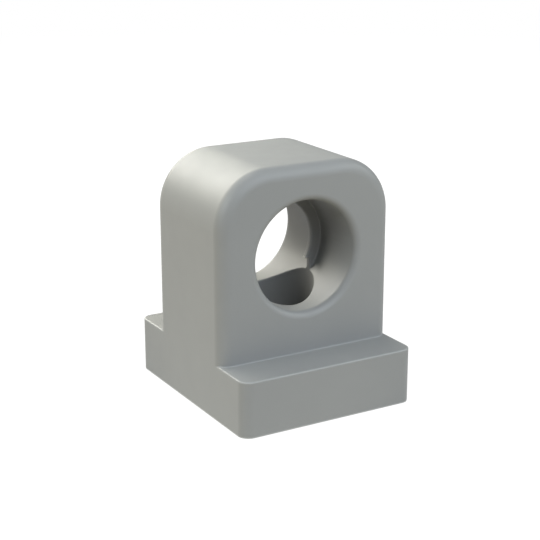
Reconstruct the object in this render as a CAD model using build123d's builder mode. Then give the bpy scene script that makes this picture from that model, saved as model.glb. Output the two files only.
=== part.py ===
from build123d import *
import os

# Conduit support, moulded as one block. Sizes in millimetres. The origin is the middle of the
# underside, X runs across the block, Y along the conduit and Z up.

# The conduit, and how it sits in the block
conduit_diameter = 21.3
conduit_clearance = 0.32
conduit_insertion = 12.83
bore_axis_height = 30.36

# The ring inside the bore that both conduit ends stop against
stop_ring_thickness = 1.24
stop_ring_height = 2.29

# The cable hole, which comes up through the underside and ends flat against the ring. The inset
# is the bore wall left beside it, and the step is how far it cuts into the ring
cable_hole_inset = 2.64
cable_hole_ring_step = 0.96

# Walls beside and above the bore, and the base with its front and rear ledges
side_wall = 8.08
crown_wall = 7.02
base_height = 11.16
ledge_depth = 8.78

# Roundings
shoulder_radius = 11.1
face_edge_radius = 2.54
mouth_radius = 1.4
base_corner_radius = 2.29
small_edge_radius = 0.29

# Sizes that follow from the ones above
bore_radius = conduit_diameter / 2 + conduit_clearance
stop_ring_radius = bore_radius - stop_ring_height
cable_hole_radius = bore_radius - cable_hole_inset
step_start = cable_hole_radius - cable_hole_ring_step
cable_hole_end = bore_axis_height - (stop_ring_radius**2 - step_start**2) ** 0.5
body_width = 2 * (bore_radius + side_wall)
upright_depth = 2 * conduit_insertion + stop_ring_thickness
base_depth = upright_depth + 2 * ledge_depth
overall_height = bore_axis_height + bore_radius + crown_wall

# Base: a flat pad with rounded corners, its top edges lightly broken
with BuildPart() as base:
    with BuildSketch():
        RectangleRounded(body_width, base_depth, base_corner_radius)
    extrude(amount=base_height)
    fillet(base.faces().sort_by(Axis.Z)[-1].edges(), radius=small_edge_radius)

# Upright: flush with the base's sides, with two large shoulders and a rounding along the
# outline of its front and rear faces
with BuildPart() as upright:
    with BuildSketch(Plane.XZ) as outline:
        with Locations((0, overall_height / 2)):
            Rectangle(body_width, overall_height)
        fillet(outline.vertices().group_by(Axis.Y)[-1], radius=shoulder_radius)
    extrude(amount=upright_depth / 2, both=True)
    end_faces = upright.faces().filter_by(Axis.Y)
    underside = upright.faces().sort_by(Axis.Z)[0]
    fillet(end_faces.edges() - underside.edges(), radius=face_edge_radius)

# The block: base and upright in one, with the bore and the cable hole taken out
with BuildPart() as support_body:
    add(base.part)
    add(upright.part)

    # Inside corner where the upright stands on the two ledges
    ledges = support_body.faces().filter_by(Axis.Z).group_by(Axis.Z)[1]
    foot_edges = ledges.edges().filter_by_position(Axis.Y, -upright_depth / 2, upright_depth / 2)
    fillet(foot_edges, radius=small_edge_radius)

    # The bore: the ring's opening right through, then a conduit seat from each end
    with BuildSketch(Plane.XZ):
        with Locations((0, bore_axis_height)):
            Circle(stop_ring_radius)
    extrude(amount=upright_depth / 2, both=True, mode=Mode.SUBTRACT)
    front_ring_face = Plane.XZ.offset(stop_ring_thickness / 2)
    rear_end_face = Plane.XZ.offset(-upright_depth / 2)
    with BuildSketch(front_ring_face, rear_end_face):
        with Locations((0, bore_axis_height)):
            Circle(bore_radius)
    extrude(amount=conduit_insertion, mode=Mode.SUBTRACT)
    seat_circles = support_body.edges(Select.LAST).filter_by(GeomType.CIRCLE).group_by(Axis.Y)
    fillet(seat_circles[0] + seat_circles[-1], radius=mouth_radius)

    # The cable hole, which cuts through the lower part of the ring
    with BuildSketch():
        Circle(cable_hole_radius)
    extrude(amount=cable_hole_end, mode=Mode.SUBTRACT)
    cable_hole_edges = support_body.edges(Select.LAST).group_by(Axis.Y)
    rim_edges = cable_hole_edges[0] + cable_hole_edges[-1]

    # The moulding's small roundings on the hole's rim and on all edges of the ring
    ring_faces = support_body.faces().filter_by(Axis.Y).filter_by_position(
        Axis.Y, -stop_ring_thickness, stop_ring_thickness
    )
    fillet(rim_edges + ring_faces.edges(), radius=small_edge_radius)

support_body.part.label = "support_body"
os.makedirs("parts", exist_ok=True)
export_step(support_body.part, "parts/support_body.step")
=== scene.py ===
import bpy
import math
from mathutils import Matrix, Vector

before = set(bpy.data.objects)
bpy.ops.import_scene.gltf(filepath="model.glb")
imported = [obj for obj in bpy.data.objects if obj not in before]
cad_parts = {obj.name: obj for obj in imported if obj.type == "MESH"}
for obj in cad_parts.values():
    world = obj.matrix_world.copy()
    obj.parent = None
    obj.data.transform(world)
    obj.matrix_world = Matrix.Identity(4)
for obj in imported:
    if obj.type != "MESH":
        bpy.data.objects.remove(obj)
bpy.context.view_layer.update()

# A conduit support, moulded as one block of satin grey plastic. Metres, +Z up, +Y along the conduit
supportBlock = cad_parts["support_body"]
scene = bpy.context.scene
millimetresPerMetre = 1000.0


# A node with its settings, and with the values of its unlinked sockets by name or number
def addNode(tree, kind, settings=None, values=None):
    node = tree.nodes.new(kind)
    for name, value in (settings or {}).items():
        setattr(node, name, value)
    for socket, value in (values or {}).items():
        node.inputs[socket].default_value = value
    return node


# A Math node on two values, each of which is a socket or a number
def mathNode(tree, operation, first, second):
    node = addNode(tree, "ShaderNodeMath", {"operation": operation})
    for place, value in enumerate((first, second)):
        if isinstance(value, (int, float)):
            node.inputs[place].default_value = value
        else:
            tree.links.new(value, node.inputs[place])
    return node.outputs[0]


# A value taken from 0 at the start to 1 at the end with soft turns
def smoothRange(tree, value, start, end):
    node = addNode(tree, "ShaderNodeMapRange", {"interpolation_type": "SMOOTHSTEP"},
                   {"From Min": start, "From Max": end})
    tree.links.new(value, node.inputs["Value"])
    return node.outputs["Result"]


# The direction at a turn and a rise in degrees. Turn counts from straight behind the block, clockwise seen
# from above, and rise from level
def directionAt(turn, rise=0.0):
    turn, rise = math.radians(turn), math.radians(rise)
    return Vector((math.sin(turn) * math.cos(rise), math.cos(turn) * math.cos(rise), math.sin(rise)))


# How far a vector reaches along a direction
def alongDirection(tree, vector, direction):
    node = addNode(tree, "ShaderNodeVectorMath", {"operation": "DOT_PRODUCT"}, {1: direction})
    tree.links.new(vector, node.inputs[0])
    return node.outputs["Value"]


# A colour multiplied by an even grey where the mask is 1
def shadeWhere(tree, colour, mask, grey):
    node = addNode(tree, "ShaderNodeMix", {"data_type": "RGBA", "blend_type": "MULTIPLY"},
                   {"B": (grey, grey, grey, 1.0)})
    tree.links.new(mask, node.inputs["Factor"])
    tree.links.new(colour, node.inputs["A"])
    return node.outputs["Result"]


# Two shaders as one: the sum of both, or the first turning into the second as the factor goes to 1
def sumShaders(tree, first, second):
    node = tree.nodes.new("ShaderNodeAddShader")
    tree.links.new(first.outputs[0], node.inputs[0])
    tree.links.new(second.outputs[0], node.inputs[1])
    return node


def blendShaders(tree, factor, first, second):
    node = tree.nodes.new("ShaderNodeMixShader")
    tree.links.new(factor, node.inputs[0])
    tree.links.new(first.outputs[0], node.inputs[1])
    tree.links.new(second.outputs[0], node.inputs[2])
    return node


# An empty node group; gives its tree, its input node and its output node
def newGroup(name, inputs, outputs):
    tree = bpy.data.node_groups.new(name, "ShaderNodeTree")
    for label, kind, value in inputs:
        socket = tree.interface.new_socket(name=label, in_out="INPUT", socket_type=kind)
        if value is not None:
            socket.default_value = value
    for label, kind in outputs:
        tree.interface.new_socket(name=label, in_out="OUTPUT", socket_type=kind)
    return tree, tree.nodes.new("NodeGroupInput"), tree.nodes.new("NodeGroupOutput")


# The group as a node of a material, reading the given coordinates
def placeGroup(tree, group, vector, values):
    node = addNode(tree, "ShaderNodeGroup", {"node_tree": group}, values)
    tree.links.new(vector, node.inputs["Vector"])
    return node


# The moulded finish is made of three groups. The two that make patterns read coordinates in millimetres.
# Spark grain is the fine etched grain of the mould: a coarse and a fine noise added, with pits
grainPattern = {
    "coarse": {"Detail": 2.0, "Roughness": 0.55},
    "fine": {"Detail": 1.0, "Roughness": 0.5},
    "fineRatio": 2.7,  # how many times smaller the fine noise is
    "fineWeight": 0.5,  # its share of the height beside the coarse one
    "pits": {"From Min": 0.38, "From Max": 0.24},  # coarse noise where a pit starts and where it is full
}


def makeSparkGrain(pattern):
    tree, start, end = newGroup(
        "sparkGrain",
        [("Vector", "NodeSocketVector", None), ("Grain size", "NodeSocketFloat", 0.4)],
        [("Height", "NodeSocketFloat"), ("Pits", "NodeSocketFloat")],
    )
    coarseScale = mathNode(tree, "DIVIDE", 1.0, start.outputs["Grain size"])
    fineScale = mathNode(tree, "MULTIPLY", coarseScale, pattern["fineRatio"])
    coarse = addNode(tree, "ShaderNodeTexNoise", values=pattern["coarse"])
    fine = addNode(tree, "ShaderNodeTexNoise", values=pattern["fine"])
    for noise, scale in ((coarse, coarseScale), (fine, fineScale)):
        tree.links.new(start.outputs["Vector"], noise.inputs["Vector"])
        tree.links.new(scale, noise.inputs["Scale"])
    fineHeight = mathNode(tree, "MULTIPLY", fine.outputs["Fac"], pattern["fineWeight"])
    tree.links.new(mathNode(tree, "ADD", coarse.outputs["Fac"], fineHeight), end.inputs["Height"])
    pits = addNode(tree, "ShaderNodeMapRange", values=pattern["pits"])
    tree.links.new(coarse.outputs["Fac"], pits.inputs["Value"])
    tree.links.new(pits.outputs["Result"], end.inputs["Pits"])
    return tree


# Melt cloud is slow uneven patches from the plastic's flow in the mould, from 0 to 1 about a middle of 0.5
cloudPattern = {
    "noise": {"Detail": 3.0, "Roughness": 0.5, "Distortion": 0.4},
    "spread": {"From Min": 0.25, "From Max": 0.75},  # part of the noise's range that is used
}


def makeMeltCloud(pattern):
    tree, start, end = newGroup(
        "meltCloud",
        [("Vector", "NodeSocketVector", None), ("Patch size", "NodeSocketFloat", 8.0)],
        [("Patches", "NodeSocketFloat")],
    )
    scale = mathNode(tree, "DIVIDE", 1.0, start.outputs["Patch size"])
    noise = addNode(tree, "ShaderNodeTexNoise", values=pattern["noise"])
    tree.links.new(start.outputs["Vector"], noise.inputs["Vector"])
    tree.links.new(scale, noise.inputs["Scale"])
    spread = addNode(tree, "ShaderNodeMapRange", values=pattern["spread"])
    tree.links.new(noise.outputs["Fac"], spread.inputs["Value"])
    tree.links.new(spread.outputs["Result"], end.inputs["Patches"])
    return tree


# Edge mask is a mask, 1 on the block's sharp outer edges and 0 from the given width away. From
# each point it looks into the plastic for how near the next face is. It places a painted highlight in the
# colour and a lower roughness on those edges
edgePattern = {
    "samples": 16,
    "spread": {"From Min": 0.97, "From Max": 0.72},  # free share of the view inwards at mask 0 and at mask 1
}


def makeEdgeMask(pattern):
    tree, start, end = newGroup(
        "edgeMask",
        [("Width", "NodeSocketFloat", 0.0004)],
        [("Edges", "NodeSocketFloat")],
    )
    inwards = addNode(tree, "ShaderNodeAmbientOcclusion",
                      {"inside": True, "only_local": True, "samples": pattern["samples"]})
    tree.links.new(start.outputs["Width"], inwards.inputs["Distance"])
    spread = addNode(tree, "ShaderNodeMapRange", values=pattern["spread"])
    tree.links.new(inwards.outputs["AO"], spread.inputs["Value"])
    tree.links.new(spread.outputs["Result"], end.inputs["Edges"])
    return tree


mouldedFinish = {
    "darkGrey": (0.256, 0.257, 0.256, 1.0),
    "lightGrey": (0.266, 0.266, 0.265, 1.0),
    "colourPatch": 9.0,  # mm
    "roughness": 0.5,
    "roughnessSwing": 0.03,  # to either side
    "roughnessPatch": 3.5,  # mm
    "grainSize": 0.35,  # mm
    "grainDepth": 0.0015,  # mm
    "paintedPitShade": 0.03,  # share taken off the colour in the pits, a painted shade
    "edgeWidth": 0.35,  # mm
    "paintedEdgeHighlight": 0.45,  # share added to the colour on edges, a painted highlight
    "edgeShine": 0.15,  # taken off the roughness there
    "ior": 1.5,
}


def makeMouldedPlastic(look):
    material = bpy.data.materials.new("satinMouldedGrey")
    material.use_nodes = True
    tree = material.node_tree
    plastic = tree.nodes["Principled BSDF"]
    plastic.inputs["IOR"].default_value = look["ior"]

    place = addNode(tree, "ShaderNodeTexCoord")
    inMillimetres = addNode(tree, "ShaderNodeMapping", values={"Scale": (millimetresPerMetre,) * 3})
    tree.links.new(place.outputs["Object"], inMillimetres.inputs["Vector"])
    spot = inMillimetres.outputs["Vector"]
    cloud = makeMeltCloud(cloudPattern)
    grain = placeGroup(tree, makeSparkGrain(grainPattern), spot, {"Grain size": look["grainSize"]})
    colourCloud = placeGroup(tree, cloud, spot, {"Patch size": look["colourPatch"]})
    sheenCloud = placeGroup(tree, cloud, spot, {"Patch size": look["roughnessPatch"]})
    edgeMaskNode = addNode(tree, "ShaderNodeGroup", {"node_tree": makeEdgeMask(edgePattern)},
                      {"Width": look["edgeWidth"] / millimetresPerMetre})
    edges = edgeMaskNode.outputs["Edges"]

    # Colour: two close greys in slow patches, with a painted shade in the pits of the grain and a painted
    # highlight on edges
    patches = addNode(tree, "ShaderNodeMix", {"data_type": "RGBA"},
                      {"A": look["darkGrey"], "B": look["lightGrey"]})
    tree.links.new(colourCloud.outputs["Patches"], patches.inputs["Factor"])
    # Painted shade: the colour is made a little darker in the pits of the grain
    pitShaded = shadeWhere(tree, patches.outputs["Result"], grain.outputs["Pits"], 1.0 - look["paintedPitShade"])
    # Painted highlight: the colour is made lighter along the sharp edges
    edgeHighlighted = shadeWhere(tree, pitShaded, edges, 1.0 + look["paintedEdgeHighlight"])
    tree.links.new(edgeHighlighted, plastic.inputs["Base Color"])

    # Sheen: roughness swings slowly about its middle, and is lower on edges
    swing = mathNode(tree, "SUBTRACT", sheenCloud.outputs["Patches"], 0.5)
    scaled = mathNode(tree, "MULTIPLY", swing, 2.0 * look["roughnessSwing"])
    roughness = mathNode(tree, "ADD", scaled, look["roughness"])
    polish = mathNode(tree, "MULTIPLY", edges, look["edgeShine"])
    tree.links.new(mathNode(tree, "SUBTRACT", roughness, polish), plastic.inputs["Roughness"])

    # Relief of the grain
    relief = addNode(tree, "ShaderNodeBump",
                     values={"Strength": 1.0, "Distance": look["grainDepth"] / millimetresPerMetre})
    tree.links.new(grain.outputs["Height"], relief.inputs["Height"])
    tree.links.new(relief.outputs["Normal"], plastic.inputs["Normal"])
    return material


plasticMaterial = makeMouldedPlastic(mouldedFinish)
supportBlock.data.materials.clear()
supportBlock.data.materials.append(plasticMaterial)
print("moulded plastic made")

# Floor: white to the camera and in reflections, with the block's faint shadow. Its light on the block is
# a painted glow that the floor gives off itself, standing in for a pale floor lit on its front left half
# close by and in two patches further off. Turns count in degrees from straight behind the block,
# clockwise seen from above
studioFloor = {
    "size": 6.0,  # m
    "depth": -0.0001,  # m, so that it doesn't meet the block's underside
    "shadowShare": 0.12,  # part of its white that a full shadow takes away
    "shadowReach": (0.3, 0.6),  # m from the block's middle, where that part fades out
    "whiteInReflections": 1.0,
    "glowNear": (0.781, 0.75, 0.601, 1.0),
    "glowTurn": 225,  # degrees, the middle of the half that glows
    "glowEdge": 0.02,  # m, half the width over which the glow fades in
    "glowGap": 0.012,  # m, the radius left dark under the block
    "glowChange": (0.07, 0.13),  # m from the block's middle, where the near glow ends and the patches begin
    "patches": {
        "left": {"turn": 270, "colour": (1.0, 0.767, 0.283, 1.0), "strength": 1.2},
        "frontRight": {"turn": 135, "colour": (1.0, 0.933, 0.67, 1.0), "strength": 1.79},
    },
    "patchTurn": (27.5, 17.5),  # degrees from a patch's middle, where it starts and where it is full
}


# What the camera sees of the floor: near the block almost white by itself and the rest of the way from
# the lamps, and plain white far off
def floorSeen(tree, away, look):
    share = look["shadowShare"]
    lit = addNode(tree, "ShaderNodeBsdfDiffuse", values={"Color": (share, share, share, 1.0)})
    white = addNode(tree, "ShaderNodeEmission", values={"Strength": 1.0 - share / 2})
    farOff = addNode(tree, "ShaderNodeEmission", values={"Strength": 1.0})
    faded = smoothRange(tree, away, *look["shadowReach"])
    return blendShaders(tree, faded, sumShaders(tree, lit, white), farOff)


# What the block receives from it: a painted glow close by, and a painted patch of light in each of the given
# directions, all given off by the floor itself
def floorGlow(tree, spot, away, look):
    along = alongDirection(tree, spot, directionAt(look["glowTurn"]))
    side = smoothRange(tree, along, -look["glowEdge"], look["glowEdge"])
    farness = smoothRange(tree, away, *look["glowChange"])
    clear = mathNode(tree, "GREATER_THAN", away, look["glowGap"])
    nearness = mathNode(tree, "SUBTRACT", clear, farness)
    glow = addNode(tree, "ShaderNodeEmission", values={"Color": look["glowNear"]})
    tree.links.new(mathNode(tree, "MULTIPLY", side, nearness), glow.inputs["Strength"])
    heading = addNode(tree, "ShaderNodeVectorMath", {"operation": "NORMALIZE"})
    tree.links.new(spot, heading.inputs[0])
    patchStart, patchFull = [math.cos(math.radians(turn)) for turn in look["patchTurn"]]
    for patch in look["patches"].values():
        facing = alongDirection(tree, heading.outputs["Vector"], directionAt(patch["turn"]))
        inPatch = mathNode(tree, "MULTIPLY", smoothRange(tree, facing, patchStart, patchFull), farness)
        patchGlow = addNode(tree, "ShaderNodeEmission", values={"Color": patch["colour"]})
        tree.links.new(mathNode(tree, "MULTIPLY", inPatch, patch["strength"]), patchGlow.inputs["Strength"])
        glow = sumShaders(tree, glow, patchGlow)
    return glow


def makePaleFloor(look):
    material = bpy.data.materials.new("paleFloor")
    material.use_nodes = True
    material.cycles.emission_sampling = "NONE"
    tree = material.node_tree
    tree.nodes.remove(tree.nodes["Principled BSDF"])
    rays = addNode(tree, "ShaderNodeLightPath")
    place = addNode(tree, "ShaderNodeTexCoord")
    away = addNode(tree, "ShaderNodeVectorMath", {"operation": "LENGTH"})
    tree.links.new(place.outputs["Object"], away.inputs[0])
    seen = floorSeen(tree, away.outputs["Value"], look)
    glow = floorGlow(tree, place.outputs["Object"], away.outputs["Value"], look)
    reflected = addNode(tree, "ShaderNodeEmission", values={"Strength": look["whiteInReflections"]})
    mirrored = mathNode(tree, "MAXIMUM", rays.outputs["Is Glossy Ray"], rays.outputs["Is Transmission Ray"])
    unseen = blendShaders(tree, mirrored, glow, reflected)
    surface = blendShaders(tree, rays.outputs["Is Camera Ray"], unseen, seen)
    tree.links.new(surface.outputs[0], tree.nodes["Material Output"].inputs["Surface"])
    return material


def makeFloor(look):
    half = look["size"] / 2
    mesh = bpy.data.meshes.new("studioFloor")
    corners = [(-half, -half, look["depth"]), (half, -half, look["depth"]),
               (half, half, look["depth"]), (-half, half, look["depth"])]
    mesh.from_pydata(corners, [], [(0, 1, 2, 3)])
    mesh.materials.append(makePaleFloor(look))
    floor = bpy.data.objects.new("studioFloor", mesh)
    scene.collection.objects.link(floor)
    return floor


floor = makeFloor(studioFloor)

# Air: white to the camera and pale in reflections. It adds no light of its own to the block
studioAir = {"white": 1.0, "paleInReflections": 0.3}


def makeWorld(look):
    world = bpy.data.worlds.new("studioAir")
    world.use_nodes = True
    scene.world = world
    tree = world.node_tree
    rays = addNode(tree, "ShaderNodeLightPath")
    background = tree.nodes["Background"]
    background.inputs["Color"].default_value = (1.0, 1.0, 1.0, 1.0)
    seen = mathNode(tree, "MAXIMUM", rays.outputs["Is Camera Ray"], rays.outputs["Is Transmission Ray"])
    white = mathNode(tree, "MULTIPLY", seen, look["white"])
    pale = mathNode(tree, "MULTIPLY", rays.outputs["Is Glossy Ray"], look["paleInReflections"])
    tree.links.new(mathNode(tree, "MAXIMUM", white, pale), background.inputs["Strength"])


makeWorld(studioAir)
print("floor and air made")

# Soft oval lamps. Turn is in degrees from straight behind the block, clockwise seen from above; rise is
# the height in degrees; away and size in metres, power in watts. No two stand at the same place
studioLamps = {
    "rearKey": {"turn": 350, "rise": 27, "away": 0.8, "size": (0.533, 0.267), "power": 1.879,
                "colour": (1.0, 0.98, 0.984)},
    "rearWide": {"turn": 350, "rise": 27, "away": 0.9, "size": (1.2, 0.35), "power": 6.854,
                 "colour": (1.0, 0.977, 0.822)},
    "left": {"turn": 260, "rise": 34, "away": 0.9, "size": (0.7, 0.32), "power": 4.948,
             "colour": (0.925, 0.992, 1.0)},
    "frontRight": {"turn": 160, "rise": 31, "away": 0.9, "size": (0.45, 1.0), "power": 4.122,
                   "colour": (0.784, 0.88, 1.0)},
    "right": {"turn": 115, "rise": 30, "away": 0.9, "size": (0.5, 0.5), "power": 2.852,
              "colour": (0.937, 1.0, 0.969)},
    "front": {"turn": 190, "rise": 32, "away": 0.9, "size": (0.45, 0.4), "power": 1.254,
              "colour": (0.876, 0.951, 1.0)},
    "topLeft": {"turn": 310, "rise": 72, "away": 0.9, "size": (0.5, 0.4), "power": 2.674,
                "colour": (0.976, 1.0, 0.956)},
}
lampTarget = Vector((0.0, 0.0, 0.025))  # the block's middle, which the lamps stand around and face


def addLamp(name, look):
    light = bpy.data.lights.new(name, "AREA")
    light.shape = "ELLIPSE"
    light.size, light.size_y = look["size"]
    light.energy = look["power"]
    light.color = look["colour"]
    lamp = bpy.data.objects.new(name, light)
    scene.collection.objects.link(lamp)
    towards = directionAt(look["turn"], look["rise"])
    lamp.location = lampTarget + towards * look["away"]
    lamp.rotation_mode = "QUATERNION"
    lamp.rotation_quaternion = towards.to_track_quat("Z", "Y")


for lampName, lampLook in studioLamps.items():
    addLamp(lampName, lampLook)
print("lamps placed:", len(studioLamps))

# Camera at the photograph's viewing angle, worked out from the block's straight edges
viewpoint = {
    "position": (-0.128597, -0.220530, 0.102598),  # m
    "azimuth": -30.142,  # degrees from straight in front, negative to the left
    "elevation": 17.064,  # degrees
    "lens": 88.822,  # mm
    "sensor": 36.0,  # mm
    "clipStart": 0.01,  # m
}


def makeCamera(look):
    data = bpy.data.cameras.new("viewpoint")
    data.lens, data.sensor_width = look["lens"], look["sensor"]
    data.clip_start = look["clipStart"]
    camera = bpy.data.objects.new("viewpoint", data)
    scene.collection.objects.link(camera)
    turn, rise = math.radians(look["azimuth"]), math.radians(look["elevation"])
    back = Vector((math.sin(turn) * math.cos(rise), -math.cos(turn) * math.cos(rise), math.sin(rise)))
    right = (-back).cross(Vector((0, 0, 1))).normalized()
    up = right.cross(-back).normalized()
    turned = Matrix((right, up, back)).transposed().to_4x4()
    camera.matrix_world = Matrix.Translation(look["position"]) @ turned
    scene.camera = camera


makeCamera(viewpoint)
scene.view_settings.view_transform = "Standard"
print("camera placed")
